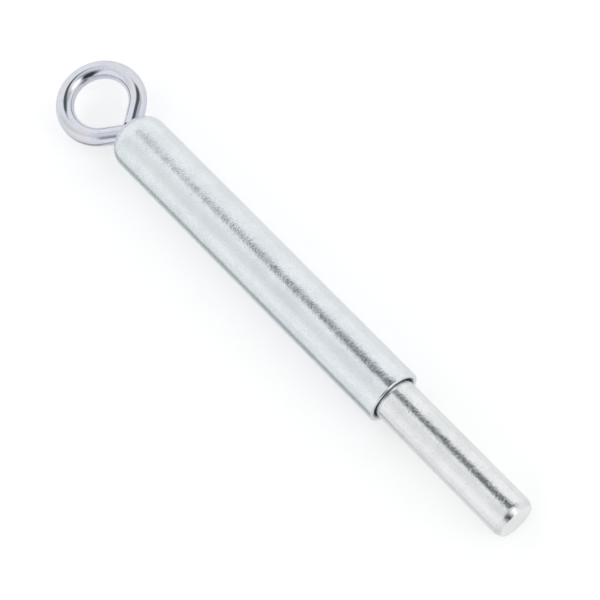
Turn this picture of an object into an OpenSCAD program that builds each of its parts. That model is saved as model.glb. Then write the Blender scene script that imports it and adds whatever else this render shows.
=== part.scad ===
// Tubular spring latch: a round plunger in a rolled-end tube, pulled back by a bent rod with an eye.
// The frame's origin is on the axis, in the plane of the housing's mouth. +X points out along the
// plunger, the eye lies flat in the XY plane, and +Z is up.

/* [Housing] */
// Wall thickness of the tube
tube_wall = 2.3; // [1.2:0.1:3]
// Length of the tube from its mouth to its rolled-in rear end
tube_len = 170; // [150:1:260]
// Outside radius of the rolled-in rear end
end_radius = 9.5; // [6:0.1:10]
// Diameter of the hole left in the rear end
end_hole_d = 15.4; // [14:0.1:17]
// Edge break at the mouth and at the rear hole
tube_edge = 0.3; // [0.1:0.05:0.5]

/* [Plunger] */
// Diameter of the plunger
plunger_d = 19.05; // [16:0.05:24]
// Length of the plunger that stands out of the mouth at rest
plunger_reach = 72.5; // [30:0.5:80]
// Length of the plunger inside the tube at rest
plunger_hold = 50; // [25:1:60]
// Chamfer round the tip of the plunger
tip_chamfer = 0.9; // [0.3:0.1:3]
// Chamfer round the rear end of the plunger
rear_chamfer = 0.6; // [0.3:0.1:1.5]
// Depth of the hole that holds the pull rod
socket_depth = 26; // [12:1:40]

/* [Pull ring] */
// Diameter of the rod
rod_d = 7.94; // [6:0.01:9]
// Inside diameter of the eye
eye_inside_d = 24; // [20:0.5:34]
// Centreline radius of the bend from the eye into the shank
neck_bend = 8; // [7:0.1:9]
// Gap between the rod's free end and the neck that it closes on
eye_gap = 0.25; // [0.1:0.05:0.6]

/* [Spring] */
// Diameter of the spring wire
wire_d = 1.8; // [1.2:0.1:2.2]
// Number of open turns
open_turns = 15; // [8:1:16]
// Number of closed turns at each end
closed_turns = 1.5; // [1:0.5:2]

/* [Fits] */
// Gap all round between the plunger and the tube's bore
plunger_gap = 0.875; // [0.5:0.005:1.2]
// Gap all round between the spring and the tube's bore
spring_gap = 0.9; // [0.7:0.05:1.3]
// Gap between pieces that bear on each other
seat_gap = 0.2; // [0.1:0.05:0.3]
// Radial clearance of the shank in the plunger
shank_fit = 0.03; // [0.01:0.01:0.05]

/* [Hidden] */
$fn = 96;

plunger_r = plunger_d / 2;
bore_r = plunger_r + plunger_gap;
tube_r = bore_r + tube_wall;
end_hole_r = end_hole_d / 2;
rod_r = rod_d / 2;
eye_r = eye_inside_d / 2 + rod_r;
wire_r = wire_d / 2;
coil_r = bore_r - spring_gap - wire_r;
overrun = 1;

// Each leg leaves the eye's circle at this angle from the axis, on a slope of 3 in 4
leg_angle = atan(3 / 4);

// The rear end's outside surface at the rim of its hole, measured from the end of the tube
rim_rise = max(0, end_hole_r + tube_edge - (tube_r - end_radius));
rim_depth = end_radius - sqrt(end_radius * end_radius - rim_rise * rim_rise);

// At rest each leg of the eye lies one seat gap from the rim of the hole
rim_to_eye = (eye_r + rod_r + seat_gap - (end_hole_r + tube_edge) * sin(leg_angle)) / cos(leg_angle);
eye_x = -tube_len + rim_depth - rim_to_eye;

// The legs' centrelines cross the axis here, and the shank starts where the neck's bend ends
cross_x = eye_x + eye_r / cos(leg_angle);
neck_turn = 90 - leg_angle;
neck_run = neck_bend * tan(neck_turn / 2);
shank_x = cross_x + neck_run;
leg_len = eye_r * tan(leg_angle);

// The free end is square, and stops one eye gap short of the outside of the neck's bend
neck_out = neck_bend + rod_r + eye_gap;
corner_along = (shank_x - eye_x) * sin(leg_angle) + neck_bend * cos(leg_angle);
corner_across = (shank_x - eye_x) * cos(leg_angle) - neck_bend * sin(leg_angle) - (eye_r - rod_r);
free_leg_len = corner_along - sqrt(neck_out * neck_out - corner_across * corner_across);

plunger_rear_x = -plunger_hold;
socket_end_x = plunger_rear_x + socket_depth;

// The spring's last turn rests in the round inside corner of the rear end
corner_r = end_radius - tube_wall - wire_r - seat_gap;
corner_rise = coil_r - (tube_r - end_radius);
spring_rear_x = -tube_len + end_radius - sqrt(max(0, corner_r * corner_r - corner_rise * corner_rise));
spring_front_x = plunger_rear_x - wire_r - seat_gap;
spring_len = spring_front_x - spring_rear_x;
closed_pitch = wire_d * 1.04;
spring_turns = open_turns + 2 * closed_turns;
open_pitch = (spring_len - 2 * closed_turns * closed_pitch) / open_turns;
steps_per_turn = 16;
wire_sides = 8;

housing_colour = [0.80, 0.83, 0.82];
plunger_colour = [0.78, 0.81, 0.80];
ring_colour = [0.72, 0.74, 0.79];
spring_colour = [0.55, 0.57, 0.59];

// Turns what is built along +Z to run along +X
module along_axis() {
    rotate([0, 90, 0]) children();
}

// Half section of a round bar whose lower end has a rounded corner
module rounded_end_section(radius, corner, length) {
    translate([0, corner]) square([radius, length - corner]);
    square([radius - corner, length]);
    translate([radius - corner, corner]) circle(r = corner);
}

// Half section of what is cut from the edge of a hole of the given radius, in a face at zero
module edge_break_section(radius, size) {
    polygon([
        [radius - overrun, -overrun],
        [radius + size, -overrun],
        [radius + size, 0],
        [radius, size],
        [radius - overrun, size]
    ]);
}

module housing_section() {
    intersection() {
        difference() {
            rounded_end_section(tube_r, end_radius, tube_len);
            translate([0, tube_wall]) rounded_end_section(bore_r, end_radius - tube_wall, tube_len);
            translate([0, -overrun]) square([end_hole_r, tube_len + 2 * overrun]);
            translate([0, rim_depth]) edge_break_section(end_hole_r, tube_edge);
            translate([0, tube_len]) mirror([0, 1]) edge_break_section(bore_r, tube_edge);
            translate([tube_r, tube_len]) rotate(180) edge_break_section(0, tube_edge);
        }
        square([tube_r, tube_len]);
    }
}

module housing() {
    color(housing_colour)
        translate([-tube_len, 0, 0]) along_axis() rotate_extrude() housing_section();
}

module plunger_section() {
    length = plunger_hold + plunger_reach;
    polygon([
        [0, 0],
        [plunger_r - rear_chamfer, 0],
        [plunger_r, rear_chamfer],
        [plunger_r, length - tip_chamfer],
        [plunger_r - tip_chamfer, length],
        [0, length]
    ]);
}

module plunger() {
    color(plunger_colour)
        translate([plunger_rear_x, 0, 0]) along_axis()
            difference() {
                rotate_extrude() plunger_section();
                translate([0, 0, -overrun])
                    cylinder(r = rod_r + shank_fit, h = socket_depth + overrun);
            }
}

// A straight run of the rod along +Y, from the origin
module rod_run(length) {
    rotate([-90, 0, 0]) cylinder(r = rod_r, h = length);
}

// What lies to the +Y side of the origin, out to +X, wide enough to hold a bend of the rod
module quarter_space(radius) {
    reach = radius + rod_d;
    translate([0, 0, -reach]) cube([reach, reach, 2 * reach]);
}

// A full turn of the rod round the origin
module rod_turn(radius) {
    rotate_extrude() translate([radius, 0]) circle(r = rod_r);
}

// The eye's circle, without the sector between its two legs
module eye_circle() {
    difference() {
        rod_turn(eye_r);
        intersection() {
            rotate([0, 0, -leg_angle]) quarter_space(eye_r);
            rotate([0, 0, leg_angle]) mirror([0, 1, 0]) quarter_space(eye_r);
        }
    }
}

// The bend from the lower leg into the shank, with the leg's end at the origin and the leg along +Y
module neck_and_shank() {
    translate([neck_bend, 0, 0]) {
        intersection() {
            rod_turn(neck_bend);
            mirror([1, 0, 0]) quarter_space(neck_bend);
            rotate([0, 0, leg_angle]) mirror([1, 0, 0]) quarter_space(neck_bend);
        }
        rotate([0, 0, leg_angle]) translate([0, neck_bend, 0]) rotate([0, 0, -90])
            rod_run(socket_end_x - seat_gap - shank_x);
    }
}

module pull_ring() {
    color(ring_colour)
        translate([eye_x, 0, 0]) {
            eye_circle();
            rotate([0, 0, leg_angle]) translate([eye_r, 0, 0]) mirror([0, 1, 0]) rod_run(free_leg_len);
            rotate([0, 0, -leg_angle]) translate([eye_r, 0, 0]) {
                rod_run(leg_len - neck_run);
                translate([0, leg_len - neck_run, 0]) neck_and_shank();
            }
        }
}

// How far along the axis the wire is after a number of turns: closed, then open, then closed again
function wire_x(turn) =
    let (rear = min(turn, closed_turns))
    let (front = max(0, turn - closed_turns - open_turns))
    rear * closed_pitch + (turn - rear - front) * open_pitch + front * closed_pitch;

function wire_ring(turn) = [
    for (side = [0 : wire_sides - 1])
        let (around = side * 360 / wire_sides)
        let (reach = coil_r + wire_r * cos(around))
        [
            spring_rear_x + wire_x(turn) + wire_r * sin(around),
            reach * cos(turn * 360),
            reach * sin(turn * 360)
        ]
];

module return_spring() {
    rings = round(spring_turns * steps_per_turn);
    points = [for (ring = [0 : rings]) each wire_ring(ring / steps_per_turn)];
    skin = [
        for (ring = [0 : rings - 1], side = [0 : wire_sides - 1])
            let (next = (side + 1) % wire_sides)
            let (here = ring * wire_sides)
            let (ahead = here + wire_sides)
            each [[here + side, here + next, ahead + next], [here + side, ahead + next, ahead + side]]
    ];
    rear_cap = [for (side = [wire_sides - 1 : -1 : 0]) side];
    front_cap = [for (side = [0 : wire_sides - 1]) rings * wire_sides + side];
    color(spring_colour) polyhedron(points, concat(skin, [rear_cap, front_cap]), convexity = 10);
}

housing();
plunger();
pull_ring();
return_spring();
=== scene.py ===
import math

import bpy
from mathutils import Matrix, Vector


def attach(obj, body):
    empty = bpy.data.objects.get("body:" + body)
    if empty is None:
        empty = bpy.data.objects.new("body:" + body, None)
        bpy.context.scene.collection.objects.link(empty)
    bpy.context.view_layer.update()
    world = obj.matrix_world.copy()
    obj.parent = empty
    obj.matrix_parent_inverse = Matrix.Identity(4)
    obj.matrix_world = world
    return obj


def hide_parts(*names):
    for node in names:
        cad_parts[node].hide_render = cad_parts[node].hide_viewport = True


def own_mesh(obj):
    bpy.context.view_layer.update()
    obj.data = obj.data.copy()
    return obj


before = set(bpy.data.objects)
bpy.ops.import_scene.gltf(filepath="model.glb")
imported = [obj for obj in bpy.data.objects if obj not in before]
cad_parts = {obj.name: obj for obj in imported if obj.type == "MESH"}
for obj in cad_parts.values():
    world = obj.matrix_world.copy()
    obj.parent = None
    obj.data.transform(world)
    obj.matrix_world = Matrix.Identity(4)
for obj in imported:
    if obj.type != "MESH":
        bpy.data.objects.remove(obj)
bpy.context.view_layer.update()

# Sizes in metres. +X runs out along the plunger, the eye lies in the XY plane and the axis is at zero.
TUBE_RADIUS = 0.0127
BORE_RADIUS = 0.0104
TUBE_LENGTH = 0.170
END_RADIUS = 0.0095
WALL = TUBE_RADIUS - BORE_RADIUS
REAR_HOLE_RADIUS = 0.0077
TUBE_EDGE = 0.0003

PLUNGER_RADIUS = 0.009525
PLUNGER_REACH = 0.0725
PLUNGER_HOLD = 0.050
NOSE_LENGTH = 0.0027
NOSE_DROP = 0.0013
REAR_CHAMFER = 0.0006
SOCKET_DEPTH = 0.026
SHANK_FIT = 0.00003

ROD_RADIUS = 0.00397
EYE_RADIUS = 0.012 + ROD_RADIUS
NECK_BEND = 0.008
EYE_GAP = 0.00025
SEAT_GAP = 0.0002

WIRE_RADIUS = 0.0009
COIL_RADIUS = 0.0086
OPEN_TURNS = 15
CLOSED_TURNS = 1.5
CLOSED_PITCH = 2 * WIRE_RADIUS * 1.04

# How finely the round pieces are made
TUBE_SIDES = 256
BAR_SIDES = 224
ROD_SIDES = 72
WIRE_SIDES = 16
SPRING_STEPS = 649

# Each leg of the eye leaves its circle at this angle from the axis
LEG_ANGLE = math.atan2(3, 4)


def rim_depth():
    """How far in from the tube's end its outside surface meets the rim of the rear hole."""
    rise = REAR_HOLE_RADIUS + TUBE_EDGE - (TUBE_RADIUS - END_RADIUS)
    return END_RADIUS - math.sqrt(END_RADIUS ** 2 - rise ** 2)


RIM_TO_EYE = (EYE_RADIUS + ROD_RADIUS + SEAT_GAP
              - (REAR_HOLE_RADIUS + TUBE_EDGE) * math.sin(LEG_ANGLE)) / math.cos(LEG_ANGLE)
EYE_X = -TUBE_LENGTH + rim_depth() - RIM_TO_EYE
NECK_TURN = math.pi / 2 - LEG_ANGLE
SHANK_X = EYE_X + EYE_RADIUS / math.cos(LEG_ANGLE) + NECK_BEND * math.tan(NECK_TURN / 2)


# ---------------------------------------------------------------- turned pieces

def arc(centre_x, centre_r, radius, start, end, steps):
    """Points (x, r) round a corner, with angles in degrees from +X towards the outside."""
    points = []
    for i in range(steps + 1):
        a = math.radians(start + (end - start) * i / steps)
        points.append((centre_x + radius * math.cos(a), centre_r + radius * math.sin(a)))
    return points


def run(start, end, steps):
    """Points (x, r) along a straight side, without its first."""
    return [(start[0] + (end[0] - start[0]) * i / steps,
             start[1] + (end[1] - start[1]) * i / steps) for i in range(1, steps + 1)]


def softened(points, radius, steps=4):
    """Each corner of a side view (x, r, soft) turned into a small round. Soft is its share of the radius."""
    out = []
    count = len(points)
    for i, (x, r, soft) in enumerate(points):
        here = Vector((x, r))
        if not soft:
            out.append((x, r))
            continue
        before = Vector(points[i - 1][:2])
        after = Vector(points[(i + 1) % count][:2])
        u = (before - here).normalized()
        v = (after - here).normalized()
        half = math.acos(max(-1, min(1, u.dot(v)))) / 2
        room = 0.45 * min((before - here).length, (after - here).length)
        back = min(radius * soft / math.tan(half), room)
        size = back * math.tan(half)
        centre = here + (u + v).normalized() * (size / math.sin(half))
        a = here + u * back - centre
        b = here + v * back - centre
        turn = a.angle_signed(b)
        for k in range(steps + 1):
            spot = centre + Matrix.Rotation(-turn * k / steps, 2) @ a
            out.append((spot.x, spot.y))
    return out


def turned(name, profile, around, ring=False):
    """A piece of revolution about the X axis. Its profile runs from pole to pole, or is a closed ring."""
    verts, faces, rows = [], [], []
    length = 0
    lengths = []
    for i, (x, r) in enumerate(profile):
        if i:
            length += math.dist(profile[i - 1], (x, r))
        lengths.append(length)
        if r < 1e-7:
            rows.append([len(verts)])
            verts.append((x, 0, 0))
            continue
        rows.append(list(range(len(verts), len(verts) + around)))
        for k in range(around):
            a = 2 * math.pi * k / around
            verts.append((x, r * math.cos(a), r * math.sin(a)))
    pairs = list(zip(range(len(rows)), range(1, len(rows))))
    if ring:
        pairs.append((len(rows) - 1, 0))
        lengths.append(length + math.dist(profile[-1], profile[0]))
    uvs = []
    for i, j in pairs:
        a, b = rows[i], rows[j]
        low, high = lengths[i], lengths[i + 1]
        for k in range(around):
            n = (k + 1) % around
            left, right = k / around, (k + 1) / around
            if len(a) == 1:
                faces.append((a[0], b[n], b[k]))
                uvs += [(left, low), (right, high), (left, high)]
            elif len(b) == 1:
                faces.append((a[k], a[n], b[0]))
                uvs += [(left, low), (right, low), (left, high)]
            else:
                faces.append((a[k], a[n], b[n], b[k]))
                uvs += [(left, low), (right, low), (right, high), (left, high)]
    return solid(name, verts, faces, uvs)


def solid(name, verts, faces, uvs=None):
    """A smooth closed mesh whose faces point outwards."""
    mesh = bpy.data.meshes.new(name)
    mesh.from_pydata(verts, [], faces)
    if uvs:
        layer = mesh.uv_layers.new(name="UVMap")
        layer.data.foreach_set("uv", [c for uv in uvs for c in uv])
    mesh.validate()
    if enclosed(mesh) < 0:
        mesh.flip_normals()
    mesh.shade_smooth()
    piece = bpy.data.objects.new(name, mesh)
    bpy.context.scene.collection.objects.link(piece)
    return piece


def enclosed(mesh):
    """The signed volume inside a closed mesh."""
    total = 0
    mesh.calc_loop_triangles()
    for t in mesh.loop_triangles:
        a, b, c = (mesh.vertices[i].co for i in t.vertices)
        total += a.dot(b.cross(c)) / 6
    return total


def housing_profile():
    """Round the tube's wall: back along the outside, round the rolled-in end, and forward along the bore."""
    rear = -TUBE_LENGTH
    inner = END_RADIUS - WALL
    centre_r = TUBE_RADIUS - END_RADIUS
    rim_x = rear + rim_depth()
    side_start = -0.004
    points = softened([
        (0, BORE_RADIUS + TUBE_EDGE, 1),
        (0, TUBE_RADIUS - TUBE_EDGE, 1),
        (-TUBE_EDGE, TUBE_RADIUS, 1),
        (side_start, TUBE_RADIUS, 0)
    ], radius=0.0003, steps=5)
    points += run((side_start, TUBE_RADIUS), (rear + END_RADIUS, TUBE_RADIUS), 60)
    top = math.degrees(math.acos(-(END_RADIUS - rim_depth()) / END_RADIUS))
    points += arc(rear + END_RADIUS, centre_r, END_RADIUS, start=90, end=top, steps=40)[1:]
    inner_corner = math.sqrt(inner ** 2 - (REAR_HOLE_RADIUS - centre_r) ** 2)
    inside_x = rear + END_RADIUS - inner_corner
    bend_start = inner_corner - 0.001
    points += softened([
        points[-1] + (0,),
        (rim_x + TUBE_EDGE, REAR_HOLE_RADIUS, 1),
        (inside_x, REAR_HOLE_RADIUS, 1),
        (rear + END_RADIUS - bend_start, centre_r + math.sqrt(inner ** 2 - bend_start ** 2), 0)
    ], radius=0.00015, steps=3)[1:]
    start = math.degrees(math.acos(-bend_start / inner))
    points += arc(rear + END_RADIUS, centre_r, inner, start=start, end=90, steps=16)[1:]
    points += run((rear + END_RADIUS, BORE_RADIUS), (-TUBE_EDGE, BORE_RADIUS), 30)
    return points


def plunger_profile():
    """From the middle of the tip, back along the side, and into the hole that holds the rod."""
    tip = PLUNGER_REACH
    rear = -PLUNGER_HOLD
    hole = ROD_RADIUS + SHANK_FIT
    hole_end = rear + SOCKET_DEPTH
    rim = PLUNGER_RADIUS - NOSE_DROP
    side_start = tip - 0.006
    face = [(tip, rim * k / 10) for k in range(10)]
    edge = softened([
        (tip, rim * 0.9, 0),
        (tip, rim, 0.1),
        (tip - NOSE_LENGTH, PLUNGER_RADIUS, 2.2),
        (side_start, PLUNGER_RADIUS, 0)
    ], radius=0.002, steps=10)[1:-1]
    side = run((side_start, PLUNGER_RADIUS), (rear + REAR_CHAMFER, PLUNGER_RADIUS), 60)
    back = [(rear, PLUNGER_RADIUS - REAR_CHAMFER), (rear, hole), (hole_end, hole), (hole_end, 0)]
    return face + edge + side + back


# ---------------------------------------------------------------- pieces that follow a path

def fed(tree, slot, value):
    """Sets an input from a number, a list of numbers or another node's output."""
    if isinstance(value, bpy.types.NodeSocket):
        tree.links.new(value, slot)
    else:
        slot.default_value = value


def maths(tree, operation, a, b=None):
    """A Math node whose inputs are numbers or sockets."""
    made = tree.nodes.new("ShaderNodeMath")
    made.operation = operation
    fed(tree, made.inputs[0], a)
    if b is not None:
        fed(tree, made.inputs[1], b)
    return made.outputs[0]


def vectors(tree, operation, a, b=None):
    """A Vector Math node whose inputs are vectors or sockets."""
    made = tree.nodes.new("ShaderNodeVectorMath")
    made.operation = operation
    fed(tree, made.inputs[0], a)
    if b is not None:
        fed(tree, made.inputs[1], b)
    return made.outputs["Value" if operation == "LENGTH" else "Vector"]


def joined_up(tree, x, y, z):
    """A vector from three numbers or sockets."""
    made = tree.nodes.new("ShaderNodeCombineXYZ")
    for slot, value in zip(made.inputs, (x, y, z)):
        fed(tree, slot, value)
    return made.outputs["Vector"]


def split_up(tree, vector):
    made = tree.nodes.new("ShaderNodeSeparateXYZ")
    tree.links.new(vector, made.inputs["Vector"])
    return made.outputs


def new_tree(name, sizes):
    """A Geometry Nodes tree with a geometry input and named inputs for its sizes."""
    tree = bpy.data.node_groups.new(name, "GeometryNodeTree")
    face = tree.interface
    face.new_socket("Geometry", in_out="INPUT", socket_type="NodeSocketGeometry")
    face.new_socket("Geometry", in_out="OUTPUT", socket_type="NodeSocketGeometry")
    for label, kind, value in sizes:
        made = face.new_socket(label, in_out="INPUT", socket_type="NodeSocket" + kind)
        if value is not None:
            made.default_value = value
    return tree


def evaluated(name, seed, tree, sizes):
    """The result of a tree on an object, as a plain mesh of its own."""
    modifier = seed.modifiers.new("Nodes", "NODES")
    modifier.node_group = tree
    sockets = {s.name: s.identifier for s in tree.interface.items_tree
               if s.item_type == "SOCKET" and s.in_out == "INPUT"}
    for label, value in sizes.items():
        modifier[sockets[label]] = value
    graph = bpy.context.evaluated_depsgraph_get()
    mesh = bpy.data.meshes.new_from_object(seed.evaluated_get(graph))
    seed.modifiers.remove(modifier)
    bpy.data.objects.remove(seed)
    mesh.name = name
    if enclosed(mesh) < 0:
        mesh.flip_normals()
    mesh.shade_smooth()
    piece = bpy.data.objects.new(name, mesh)
    bpy.context.scene.collection.objects.link(piece)
    return piece


def rod_tree():
    """Sweeps a round rod along a path. Each point of the path carries the rod's share of its full girth."""
    tree = new_tree("Bent rod", [
        ("Rod radius", "Float", ROD_RADIUS), ("Sides", "Int", ROD_SIDES), ("Finish", "Material", None)
    ])
    link = tree.links.new
    start = tree.nodes.new("NodeGroupInput")
    end = tree.nodes.new("NodeGroupOutput")
    path = tree.nodes.new("GeometryNodeMeshToCurve")
    link(start.outputs["Geometry"], path.inputs["Mesh"])
    upright = tree.nodes.new("GeometryNodeSetCurveNormal")
    upright.mode = "Z_UP"
    link(path.outputs["Curve"], upright.inputs["Curve"])
    girth = tree.nodes.new("GeometryNodeInputNamedAttribute")
    girth.data_type = "FLOAT"
    girth.inputs["Name"].default_value = "girth"
    thick = tree.nodes.new("GeometryNodeSetCurveRadius")
    link(upright.outputs["Curve"], thick.inputs["Curve"])
    link(girth.outputs["Attribute"], thick.inputs["Radius"])
    section = tree.nodes.new("GeometryNodeCurvePrimitiveCircle")
    link(start.outputs["Sides"], section.inputs["Resolution"])
    link(start.outputs["Rod radius"], section.inputs["Radius"])
    finish(tree, swept(tree, thick.outputs["Curve"], section.outputs["Curve"]), start, end)
    return tree


def kept(tree, geometry, kind, value):
    """Holds a value on a curve's points. Returns the curve and the held value."""
    hold = tree.nodes.new("GeometryNodeCaptureAttribute")
    hold.domain = "POINT"
    hold.capture_items.new(kind, "Held")
    tree.links.new(geometry, hold.inputs["Geometry"])
    tree.links.new(value, hold.inputs["Held"])
    return hold.outputs["Geometry"], hold.outputs["Held"]


def swept(tree, path, section):
    """Sweeps a section along a path. Its skin keeps, as "straight", where it would be on a straight rod."""
    length = tree.nodes.new("GeometryNodeSplineParameter").outputs["Length"]
    path, along = kept(tree, path, "FLOAT", length)
    section, across = kept(tree, section, "VECTOR", tree.nodes.new("GeometryNodeInputPosition").outputs[0])
    sweep = tree.nodes.new("GeometryNodeCurveToMesh")
    sweep.inputs["Fill Caps"].default_value = True
    tree.links.new(path, sweep.inputs["Curve"])
    tree.links.new(section, sweep.inputs["Profile Curve"])
    x, y = split_up(tree, across)[:2]
    store = tree.nodes.new("GeometryNodeStoreNamedAttribute")
    store.data_type = "FLOAT_VECTOR"
    store.domain = "POINT"
    store.inputs["Name"].default_value = "straight"
    tree.links.new(sweep.outputs["Mesh"], store.inputs["Geometry"])
    tree.links.new(joined_up(tree, along, x, y), store.inputs["Value"])
    return store.outputs["Geometry"]


def finish(tree, geometry, start, end):
    """Ends a tree in Realize Instances and Set Material."""
    real = tree.nodes.new("GeometryNodeRealizeInstances")
    tree.links.new(geometry, real.inputs["Geometry"])
    paint = tree.nodes.new("GeometryNodeSetMaterial")
    tree.links.new(real.outputs["Geometry"], paint.inputs["Geometry"])
    tree.links.new(start.outputs["Finish"], paint.inputs["Material"])
    tree.links.new(paint.outputs["Geometry"], end.inputs["Geometry"])


def rod_path():
    """Points and girths along the rod's centreline, from the shank's end round the eye to the free end."""
    cos, sin = math.cos(LEG_ANGLE), math.sin(LEG_ANGLE)
    spots = []

    def straight(a, b, step=0.0015):
        count = max(1, round(math.dist(a, b) / step))
        for i in range(1, count + 1):
            spots.append((a[0] + (b[0] - a[0]) * i / count, a[1] + (b[1] - a[1]) * i / count))

    def bend(centre, radius, begin, end, step=2.5):
        count = max(2, round(abs(end - begin) / step))
        for i in range(1, count + 1):
            a = math.radians(begin + (end - begin) * i / count)
            spots.append((centre[0] + radius * math.cos(a), centre[1] + radius * math.sin(a)))

    leg = math.degrees(LEG_ANGLE)
    first = (-PLUNGER_HOLD + SOCKET_DEPTH - SEAT_GAP, 0)
    spots.append(first)
    straight(first, (SHANK_X, 0))
    bend((SHANK_X, -NECK_BEND), NECK_BEND, 90, 180 - leg)
    low = (EYE_X + EYE_RADIUS * cos, -EYE_RADIUS * sin)
    straight(spots[-1], low)
    bend((EYE_X, 0), EYE_RADIUS, -leg, -360 + leg)
    high = (EYE_X + EYE_RADIUS * cos, EYE_RADIUS * sin)
    length = free_leg_length()
    straight(high, (high[0] + length * sin, high[1] - length * cos))
    return spots


def free_leg_length():
    """How far the free leg runs from the eye's circle before it closes on the neck."""
    out = NECK_BEND + ROD_RADIUS + EYE_GAP
    cos, sin = math.cos(LEG_ANGLE), math.sin(LEG_ANGLE)
    along = (SHANK_X - EYE_X) * sin + NECK_BEND * cos
    across = (SHANK_X - EYE_X) * cos - NECK_BEND * sin - (EYE_RADIUS - ROD_RADIUS)
    return along - math.sqrt(out ** 2 - across ** 2)


def eased_ends(spots, ease=0.00025, steps=4):
    """Adds points close together where the rod's ends are rounded off. Returns points and girths."""
    def end_of(outer, inner):
        away = (Vector(inner) - Vector(outer)).normalized()
        points, girths = [], []
        for k in range(steps + 1):
            a = math.pi / 2 * k / steps
            points.append(tuple(Vector(outer) + away * ease * (1 - math.sin(a))))
            girths.append(1 - ease / ROD_RADIUS * (1 - math.cos(a)))
        return points, girths
    head, head_girth = end_of(spots[0], spots[1])
    tail, tail_girth = end_of(spots[-1], spots[-2])
    points = head[::-1] + spots[1:-1] + tail
    girths = head_girth[::-1] + [1] * (len(spots) - 2) + tail_girth
    return points, girths


def bent_rod(name, material):
    spots, girths = eased_ends(rod_path())
    mesh = bpy.data.meshes.new(name + "_path")
    mesh.from_pydata([(x, y, 0) for x, y in spots], [(i, i + 1) for i in range(len(spots) - 1)], [])
    layer = mesh.attributes.new("girth", "FLOAT", "POINT")
    layer.data.foreach_set("value", girths)
    seed = bpy.data.objects.new(name + "_path", mesh)
    bpy.context.scene.collection.objects.link(seed)
    return evaluated(name, seed, rod_tree(), {
        "Rod radius": ROD_RADIUS, "Sides": ROD_SIDES, "Finish": material
    })


def spring_tree():
    """A compression spring along the X axis, with closed turns at each end."""
    sizes = [
        ("Rear", "Float", 0.0), ("Front", "Float", 0.1), ("Coil radius", "Float", COIL_RADIUS),
        ("Wire radius", "Float", WIRE_RADIUS), ("Open turns", "Float", OPEN_TURNS),
        ("Closed turns", "Float", CLOSED_TURNS), ("Closed pitch", "Float", CLOSED_PITCH),
        ("Steps", "Int", SPRING_STEPS), ("Wire sides", "Int", WIRE_SIDES), ("Finish", "Material", None)
    ]
    tree = new_tree("Closed-end spring", sizes)
    link = tree.links.new
    start = tree.nodes.new("NodeGroupInput")
    end = tree.nodes.new("NodeGroupOutput")
    size = start.outputs
    line = tree.nodes.new("GeometryNodeMeshLine")
    link(size["Steps"], line.inputs["Count"])
    index = tree.nodes.new("GeometryNodeInputIndex").outputs["Index"]
    share = maths(tree, "DIVIDE", index, maths(tree, "SUBTRACT", size["Steps"], 1))
    turns = maths(tree, "ADD", size["Open turns"], maths(tree, "MULTIPLY", size["Closed turns"], 2))
    turn = maths(tree, "MULTIPLY", share, turns)
    closed = maths(tree, "MULTIPLY", size["Closed turns"], size["Closed pitch"])
    open_length = maths(tree, "SUBTRACT", maths(tree, "SUBTRACT", size["Front"], size["Rear"]),
                        maths(tree, "MULTIPLY", closed, 2))
    open_pitch = maths(tree, "DIVIDE", open_length, size["Open turns"])
    rear = maths(tree, "MINIMUM", turn, size["Closed turns"])
    past = maths(tree, "SUBTRACT", maths(tree, "SUBTRACT", turn, size["Closed turns"]), size["Open turns"])
    front = maths(tree, "MAXIMUM", past, 0)
    middle = maths(tree, "SUBTRACT", maths(tree, "SUBTRACT", turn, rear), front)
    ends = maths(tree, "MULTIPLY", maths(tree, "ADD", rear, front), size["Closed pitch"])
    open_run = maths(tree, "MULTIPLY", middle, open_pitch)
    x = maths(tree, "ADD", size["Rear"], maths(tree, "ADD", ends, open_run))
    angle = maths(tree, "MULTIPLY", turn, 2 * math.pi)
    y = maths(tree, "MULTIPLY", size["Coil radius"], maths(tree, "COSINE", angle))
    z = maths(tree, "MULTIPLY", size["Coil radius"], maths(tree, "SINE", angle))
    move = tree.nodes.new("GeometryNodeSetPosition")
    link(line.outputs["Mesh"], move.inputs["Geometry"])
    link(joined_up(tree, x, y, z), move.inputs["Position"])
    path = tree.nodes.new("GeometryNodeMeshToCurve")
    link(move.outputs["Geometry"], path.inputs["Mesh"])
    section = tree.nodes.new("GeometryNodeCurvePrimitiveCircle")
    link(size["Wire sides"], section.inputs["Resolution"])
    link(size["Wire radius"], section.inputs["Radius"])
    finish(tree, swept(tree, path.outputs["Curve"], section.outputs["Curve"]), start, end)
    return tree


def coil_spring(name, material):
    """The spring between the rolled-in end and the plunger's rear face. Returns it and where its rear is."""
    inner = END_RADIUS - WALL - WIRE_RADIUS - SEAT_GAP
    rise = COIL_RADIUS - (TUBE_RADIUS - END_RADIUS)
    rear = -TUBE_LENGTH + END_RADIUS - math.sqrt(inner ** 2 - rise ** 2)
    front = -PLUNGER_HOLD - WIRE_RADIUS - SEAT_GAP
    mesh = bpy.data.meshes.new(name + "_path")
    mesh.from_pydata([(0, 0, 0)], [], [])
    seed = bpy.data.objects.new(name + "_path", mesh)
    bpy.context.scene.collection.objects.link(seed)
    return evaluated(name, seed, spring_tree(), {
        "Rear": rear, "Front": front, "Coil radius": COIL_RADIUS, "Wire radius": WIRE_RADIUS,
        "Open turns": float(OPEN_TURNS), "Closed turns": CLOSED_TURNS, "Closed pitch": CLOSED_PITCH,
        "Steps": SPRING_STEPS, "Wire sides": WIRE_SIDES, "Finish": material
    }), rear


# ---------------------------------------------------------------- finishes

def noise(tree, place, scale, detail=2.0, rough=0.5):
    made = tree.nodes.new("ShaderNodeTexNoise")
    tree.links.new(place, made.inputs["Vector"])
    made.inputs["Scale"].default_value = scale
    made.inputs["Detail"].default_value = detail
    made.inputs["Roughness"].default_value = rough
    return made.outputs["Fac"]


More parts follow.
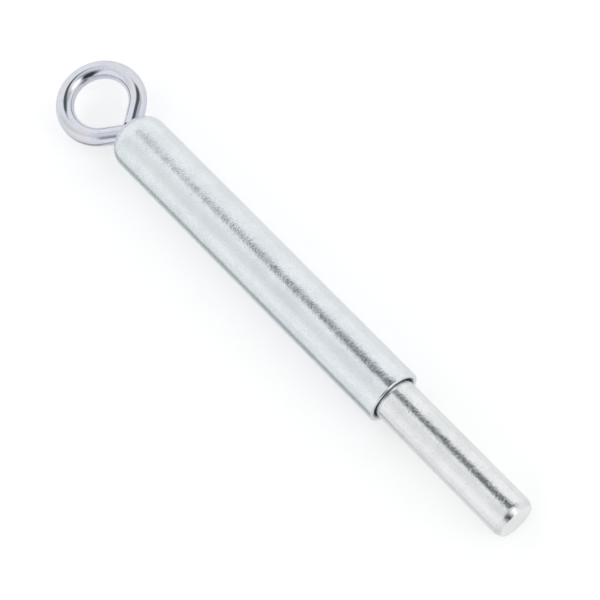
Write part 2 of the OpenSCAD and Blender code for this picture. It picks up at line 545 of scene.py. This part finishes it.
def eased(tree, value, low, high, first=0.0, last=1.0):
    """Goes from first to last as a value goes from low to high, slowly at both ends."""
    made = tree.nodes.new("ShaderNodeMapRange")
    made.interpolation_type = "SMOOTHSTEP"
    tree.links.new(value, made.inputs["Value"])
    for label, number in (("From Min", low), ("From Max", high), ("To Min", first), ("To Max", last)):
        made.inputs[label].default_value = number
    return made.outputs["Result"]


def between(tree, share, first, last):
    """A colour between two others. A Mix node's colours are its inputs 6 and 7 and its output 2."""
    made = tree.nodes.new("ShaderNodeMix")
    made.data_type = "RGBA"
    fed(tree, made.inputs[0], share)
    fed(tree, made.inputs[6], first if isinstance(first, bpy.types.NodeSocket) else (*first, 1))
    fed(tree, made.inputs[7], last if isinstance(last, bpy.types.NodeSocket) else (*last, 1))
    return made.outputs[2]


def shifted(tree, share, first, last):
    """A number between two others. A Mix node's numbers are its inputs 2 and 3 and its output 0."""
    made = tree.nodes.new("ShaderNodeMix")
    fed(tree, made.inputs[0], share)
    fed(tree, made.inputs[2], first)
    fed(tree, made.inputs[3], last)
    return made.outputs[0]


def embossed(tree, height, depth, under=None):
    """The surface's slope after a pattern of a given depth in metres."""
    made = tree.nodes.new("ShaderNodeBump")
    made.inputs["Distance"].default_value = depth
    tree.links.new(height, made.inputs["Height"])
    if under is not None:
        tree.links.new(under, made.inputs["Normal"])
    return made.outputs["Normal"]


def ripples(tree, value, pitch):
    """Even ridges, one for each pitch of a length."""
    return maths(tree, "SINE", maths(tree, "MULTIPLY", value, 2 * math.pi / pitch))


def new_metal(name):
    material = bpy.data.materials.new(name)
    material.use_nodes = True
    tree = material.node_tree
    shader = tree.nodes["Principled BSDF"]
    shader.inputs["Metallic"].default_value = 1
    return material, tree, shader


# How fine each pattern in the zinc is, in spots to the metre. The drawn lines are long in x.
CLOUDS = 95
BLOTS = 420
SPECKS = 1150
SWELLS = 170
DRAWN_LINES = (14, 1500, 1500)


def zinc_plate(tree, place, pale, cloudy, rough, grain, swell, lines):
    """Zinc over steel: clouds of colour, a fine grain, shallow swells and faint lines along the X axis.

    Grain, swell and lines are depths in metres."""
    clouds = eased(tree, noise(tree, place, CLOUDS, 4, 0.6), 0.36, 0.68)
    specks = noise(tree, place, SPECKS, 2, 0.6)
    blots = eased(tree, noise(tree, place, BLOTS, 2, 0.5), 0.52, 0.72)
    drawn = noise(tree, vectors(tree, "MULTIPLY", place, DRAWN_LINES), 1, 3, 0.65)
    colour = between(tree, clouds, pale, cloudy)
    darker = (cloudy[0] * 0.80, cloudy[1] * 0.775, cloudy[2] * 0.80)
    colour = between(tree, eased(tree, specks, 0.50, 0.78, 0, 0.45), colour, darker)
    colour = between(tree, eased(tree, drawn, 0.56, 0.80, 0, 0.35), colour, darker)
    dull = maths(tree, "ADD", maths(tree, "MULTIPLY", clouds, 0.20), maths(tree, "MULTIPLY", blots, 0.35))
    dull = maths(tree, "ADD", dull, eased(tree, specks, 0.35, 0.72, 0.60, 1.45))
    rough = maths(tree, "MULTIPLY", dull, rough)
    slope = embossed(tree, noise(tree, place, SWELLS, 1, 0.4), swell)
    slope = embossed(tree, specks, grain, slope)
    slope = embossed(tree, drawn, lines, slope)
    return colour, rough, slope


def painted(tree, shader, colour, rough, slope):
    tree.links.new(colour, shader.inputs["Base Color"])
    tree.links.new(rough, shader.inputs["Roughness"])
    tree.links.new(slope, shader.inputs["Normal"])


# The tube's rolled-in end has spun lines: where they start and are full, from the rear, and how deep.
SPUN_FROM = 0.0075
SPUN_FULLY = 0.0045
SPUN_DEPTH = 0.00003

# The mouth is cut square, which leaves fine rings
SAW_PITCH = 0.00016
SAW_DEPTH = 0.0000035

# How far along the tube's wall from its mouth, by the outside, its dull inside, darkened with painted shade,
# starts and is full.
# It starts within the rear hole, and is full just past the hole's inner edge.
SHADED_BORE_FROM = 0.1738
SHADED_BORE_FULLY = 0.1752


def tube_finish():
    """Zinc on the tube: spun lines on the rolled-in end, a bright worn mouth, and a dull bore darkened with
    painted shade.
    """
    material, tree, shader = new_metal("zinc_tube")
    coords = tree.nodes.new("ShaderNodeTexCoord")
    place = coords.outputs["Object"]
    x = split_up(tree, place)[0]
    from_axis = vectors(tree, "LENGTH", vectors(tree, "MULTIPLY", place, (0, 1, 1)))
    colour, rough, slope = zinc_plate(
        tree, place, pale=(0.830, 0.875, 0.905), cloudy=(0.775, 0.828, 0.858), rough=0.180,
        grain=0.000058, swell=0.00011, lines=0.000008)
    rolled = eased(tree, x, SPUN_FROM - TUBE_LENGTH, SPUN_FULLY - TUBE_LENGTH)
    along = split_up(tree, coords.outputs["UV"])[1]
    spun = noise(tree, joined_up(tree, along, maths(tree, "MULTIPLY", from_axis, 0.1), 0), 1900, 2, 0.6)
    slope = embossed(tree, maths(tree, "MULTIPLY", spun, rolled), SPUN_DEPTH, slope)
    rough = maths(tree, "ADD", rough, eased(tree, x, -0.070, -0.150, 0, 0.045))
    mouth = eased(tree, x, -0.0007, -0.0002)
    cut = maths(tree, "MULTIPLY", ripples(tree, from_axis, SAW_PITCH), eased(tree, x, -0.00012, -0.00002))
    slope = embossed(tree, cut, SAW_DEPTH, slope)
    colour = between(tree, maths(tree, "MULTIPLY", mouth, 0.7), colour, (0.86, 0.88, 0.88))
    rough = shifted(tree, mouth, rough, 0.2)
    # The bore is rougher and duller, and its colour is darkened with painted shade so the gap round the
    # plunger looks dark
    past_hole = eased(tree, along, SHADED_BORE_FROM, SHADED_BORE_FULLY)
    inside = maths(tree, "MULTIPLY", past_hole, eased(tree, x, -0.0001, -0.0006))
    colour = between(tree, inside, colour, (0.16, 0.17, 0.165))
    rough = shifted(tree, inside, rough, 0.55)
    painted(tree, shader, colour, rough, slope)
    return material


# The plunger's tip is faced on a lathe, which leaves fine rings
FACING_PITCH = 0.00022
FACING_DEPTH = 0.000005


def plunger_finish():
    """Zinc on the plunger's bar, worn at the nose, with a faced tip and painted shade on its sides inside the
    tube.
    """
    material, tree, shader = new_metal("zinc_bar")
    place = tree.nodes.new("ShaderNodeTexCoord").outputs["Object"]
    x = split_up(tree, place)[0]
    from_axis = vectors(tree, "LENGTH", vectors(tree, "MULTIPLY", place, (0, 1, 1)))
    colour, rough, slope = zinc_plate(
        tree, place, pale=(0.880, 0.895, 0.900), cloudy=(0.810, 0.832, 0.838), rough=0.172,
        grain=0.000065, swell=0.00013, lines=0.000009)
    worn = eased(tree, x, PLUNGER_REACH - NOSE_LENGTH * 1.3, PLUNGER_REACH - NOSE_LENGTH * 0.6)
    rough = maths(tree, "ADD", rough, maths(tree, "MULTIPLY", worn, 0.09))
    colour = between(tree, maths(tree, "MULTIPLY", worn, 0.5), colour, (0.76, 0.775, 0.77))
    faced = eased(tree, x, PLUNGER_REACH - 0.00025, PLUNGER_REACH - 0.00005)
    cut = maths(tree, "MULTIPLY", ripples(tree, from_axis, FACING_PITCH), faced)
    slope = embossed(tree, cut, FACING_DEPTH, slope)
    colour = between(tree, faced, colour, (0.965, 0.97, 0.96))
    rough = shifted(tree, faced, rough, 0.3)
    # Painted shade: the bar turns near black where it goes into the tube, so the gap round it looks dark
    shaded_in_tube = eased(tree, x, -0.0002, -0.0012)
    colour = between(tree, shaded_in_tube, colour, (0.15, 0.15, 0.14))
    rough = shifted(tree, shaded_in_tube, rough, 0.45)
    painted(tree, shader, colour, rough, slope)
    return material


def rod_finish():
    """Brighter, bluish zinc on the drawn rod, with its lines and clouds running round the bends."""
    material, tree, shader = new_metal("bright_zinc_rod")
    skin = tree.nodes.new("ShaderNodeAttribute")
    skin.attribute_name = "straight"
    colour, rough, slope = zinc_plate(
        tree, skin.outputs["Vector"], pale=(0.745, 0.770, 0.850), cloudy=(0.700, 0.720, 0.780), rough=0.035,
        grain=0.000004, swell=0.00003, lines=0.000002)
    warm = eased(tree, noise(tree, skin.outputs["Vector"], 60, 2, 0.5), 0.48, 0.66, 0, 0.5)
    colour = between(tree, warm, colour, (0.76, 0.735, 0.745))
    painted(tree, shader, colour, rough, slope)
    return material


def wire_finish():
    """Oiled spring wire, darker and with long draw marks."""
    material, tree, shader = new_metal("spring_wire")
    skin = tree.nodes.new("ShaderNodeAttribute")
    skin.attribute_name = "straight"
    colour, rough, slope = zinc_plate(
        tree, skin.outputs["Vector"], pale=(0.34, 0.34, 0.33), cloudy=(0.22, 0.215, 0.205), rough=0.26,
        grain=0.00002, swell=0.00004, lines=0.00001)
    painted(tree, shader, colour, rough, slope)
    return material


tube_zinc = tube_finish()
bar_zinc = plunger_finish()
rod_zinc = rod_finish()
wire_steel = wire_finish()


# ---------------------------------------------------------------- the latch

housing = turned("tube_with_rolled_end", housing_profile(), TUBE_SIDES, ring=True)
housing.data.materials.append(tube_zinc)
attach(housing, "housing")
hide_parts("housing")

plunger = turned("round_plunger", plunger_profile(), BAR_SIDES)
plunger.data.materials.append(bar_zinc)
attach(plunger, "plunger")
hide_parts("plunger")

ring = bent_rod("pull_rod_with_eye", rod_zinc)
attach(ring, "plunger")
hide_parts("pull_ring")

spring, spring_rear = coil_spring("closed_end_spring", wire_steel)
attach(spring, "spring")
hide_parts("return_spring")
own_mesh(spring)


# ---------------------------------------------------------------- studio

# What stands round the table, with its angles in degrees. Azimuth and elevation are those of its middle,
# and turn is that of its length, from +X towards +Y. Length and width are how far it reaches from its
# middle, and edge is how far its soft rim goes to either side, as a share of that reach.
ROOM_BRIGHTNESS = 0.96
CEILING_PANEL = dict(azimuth=70, elevation=45, turn=30, length=20, width=14, edge=0.7, bright=0.60)
CEILING_GAP = dict(azimuth=113, elevation=64, turn=65, length=22, width=12, edge=0.3, bright=0.14)
CAMERA_STAND = dict(azimuth=-20, elevation=35, turn=-15, length=40, width=22, edge=0.5, bright=0.06)
WINDOW = dict(azimuth=25, elevation=40, turn=25, length=20, width=15, edge=0.5, bright=1.50)
FAR_WALL = dict(azimuth=-130, elevation=40, turn=35, length=50, width=15, edge=0.7, bright=0.82)


def hung(tree, place, level, azimuth, elevation, turn, length, width, edge, bright):
    """The room's brightness with one more card in it, which covers what is behind it."""
    out = math.tan(math.radians(90 - elevation) / 2)
    # How long one radian is on the map of directions, where the card hangs
    radian = (1 + out ** 2) / 2
    own = tree.nodes.new("ShaderNodeMapping")
    own.vector_type = "TEXTURE"
    own.inputs["Location"].default_value = (
        out * math.cos(math.radians(azimuth)), out * math.sin(math.radians(azimuth)), 0)
    own.inputs["Rotation"].default_value = (0, 0, math.radians(turn))
    own.inputs["Scale"].default_value = (radian * math.radians(length), radian * math.radians(width), 1)
    tree.links.new(place, own.inputs["Vector"])
    reach = vectors(tree, "LENGTH", own.outputs["Vector"])
    return shifted(tree, eased(tree, reach, 1 + edge, 1 - edge), level, bright)


def studio_world():
    """A pale room with soft dark and bright cards in it. The camera alone sees plain white instead."""
    world = bpy.data.worlds.new("studio")
    bpy.context.scene.world = world
    world.use_nodes = True
    tree = world.node_tree
    link = tree.links.new
    direction = tree.nodes.new("ShaderNodeTexCoord").outputs["Generated"]
    x, y, z = split_up(tree, direction)
    # A flat map of all directions: straight up is its middle, and the horizon is a circle of radius 1
    away = maths(tree, "MAXIMUM", maths(tree, "ADD", z, 1), 0.05)
    place = joined_up(tree, maths(tree, "DIVIDE", x, away), maths(tree, "DIVIDE", y, away), 0)
    level = ROOM_BRIGHTNESS
    for patch in (CEILING_PANEL, CEILING_GAP, CAMERA_STAND, WINDOW, FAR_WALL):
        level = hung(tree, place, level, **patch)
    room = tree.nodes.new("ShaderNodeBackground")
    link(level, room.inputs["Strength"])
    link(between(tree, eased(tree, level, 0.1, 0.9), (0.84, 0.93, 1.0), (1, 1, 1)), room.inputs["Color"])
    white = tree.nodes.new("ShaderNodeBackground")
    white.inputs["Color"].default_value = (1, 1, 1, 1)
    ray = tree.nodes.new("ShaderNodeLightPath")
    pick = tree.nodes.new("ShaderNodeMixShader")
    link(ray.outputs["Is Camera Ray"], pick.inputs["Fac"])
    link(room.outputs[0], pick.inputs[1])
    link(white.outputs[0], pick.inputs[2])
    link(pick.outputs[0], tree.nodes["World Output"].inputs["Surface"])


# The floor's side, and its own glow to the camera and to the metal
FLOOR_SIZE = 6
FLOOR_TO_CAMERA = 0.36
FLOOR_TO_METAL = 0.20

# A painted shadow beside the latch, a grey band on the floor which only the metal sees: its middle in y, half
# its width, how far its soft edges go to either side, and its colour. Over these stretches of x it fades to a
# share in front, and out at the rear.
SHADOW_BAND_Y = -0.0285
SHADOW_BAND_HALF_WIDTH = 0.0075
SHADOW_BAND_SOFTNESS = 0.0045
SHADOW_BAND_COLOUR = (0.40, 0.42, 0.42, 1)
SHADOW_BAND_FRONT = (-0.02, 0.02)
SHADOW_BAND_FRONT_SHARE = 0.3
SHADOW_BAND_REAR = (-0.205, -0.175)


def pale_floor():
    """The table under the latch: white, with its soft shadow. Beside the latch lies a painted shadow, a grey
    band which only the metal sees, and which lines the metal's lower edge."""
    bpy.ops.mesh.primitive_plane_add(size=FLOOR_SIZE, location=(0, 0, -TUBE_RADIUS))
    floor = bpy.context.active_object
    floor.name = "floor"
    material = bpy.data.materials.new("floor_white")
    material.use_nodes = True
    tree = material.node_tree
    shader = tree.nodes["Principled BSDF"]
    shader.inputs["Base Color"].default_value = (0.9, 0.9, 0.9, 1)
    shader.inputs["Roughness"].default_value = 1
    shader.inputs["Specular IOR Level"].default_value = 0
    ray = tree.nodes.new("ShaderNodeLightPath")
    to_camera = maths(tree, "MULTIPLY", ray.outputs["Is Camera Ray"], FLOOR_TO_CAMERA)
    to_metal = maths(tree, "MULTIPLY", ray.outputs["Is Glossy Ray"], FLOOR_TO_METAL)
    glow = tree.nodes.new("ShaderNodeEmission")
    tree.links.new(maths(tree, "ADD", to_camera, to_metal), glow.inputs["Strength"])
    both = tree.nodes.new("ShaderNodeAddShader")
    tree.links.new(shader.outputs[0], both.inputs[0])
    tree.links.new(glow.outputs[0], both.inputs[1])
    x, y = split_up(tree, tree.nodes.new("ShaderNodeTexCoord").outputs["Object"])[:2]
    off_middle = maths(tree, "ABSOLUTE", maths(tree, "SUBTRACT", y, SHADOW_BAND_Y))
    outside = SHADOW_BAND_HALF_WIDTH + SHADOW_BAND_SOFTNESS
    inside = SHADOW_BAND_HALF_WIDTH - SHADOW_BAND_SOFTNESS
    across = eased(tree, off_middle, outside, inside)
    front = eased(tree, x, SHADOW_BAND_FRONT[1], SHADOW_BAND_FRONT[0], SHADOW_BAND_FRONT_SHARE, 1)
    shadow_band = maths(tree, "MULTIPLY", across, front)
    shadow_band = maths(tree, "MULTIPLY", shadow_band, eased(tree, x, SHADOW_BAND_REAR[0], SHADOW_BAND_REAR[1]))
    # Painted shadow: a grey glow on the floor where the latch's shadow would fall, seen by glossy rays alone
    patch = tree.nodes.new("ShaderNodeEmission")
    patch.inputs["Color"].default_value = SHADOW_BAND_COLOUR
    pick = tree.nodes.new("ShaderNodeMixShader")
    tree.links.new(maths(tree, "MULTIPLY", shadow_band, ray.outputs["Is Glossy Ray"]), pick.inputs["Fac"])
    tree.links.new(both.outputs[0], pick.inputs[1])
    tree.links.new(patch.outputs[0], pick.inputs[2])
    tree.links.new(pick.outputs[0], tree.nodes["Material Output"].inputs["Surface"])
    floor.data.materials.append(material)


# The camera looks down at the middle of the latch, and is turned so that the latch lies corner to corner
CAMERA_AIM = (-0.059, 0.001, 0)
CAMERA_DISTANCE = 1.152
CAMERA_AZIMUTH = -19.9
CAMERA_ELEVATION = 66.8
CAMERA_ROLL = -23.3
CAMERA_LENS = 168


def camera():
    data = bpy.data.cameras.new("camera")
    data.sensor_width = 36
    data.lens = CAMERA_LENS
    data.clip_start = 0.05
    data.clip_end = 20
    eye = bpy.data.objects.new("camera", data)
    bpy.context.scene.collection.objects.link(eye)
    bpy.context.scene.camera = eye
    swing = Matrix.Rotation(math.radians(CAMERA_AZIMUTH + 90), 4, "Z")
    rise = Matrix.Rotation(math.radians(90 - CAMERA_ELEVATION), 4, "X")
    roll = Matrix.Rotation(math.radians(CAMERA_ROLL), 4, "Z")
    back_off = Matrix.Translation((0, 0, CAMERA_DISTANCE))
    eye.matrix_world = Matrix.Translation(CAMERA_AIM) @ swing @ rise @ roll @ back_off


studio_world()
pale_floor()
camera()
bpy.context.scene.view_settings.view_transform = "Standard"
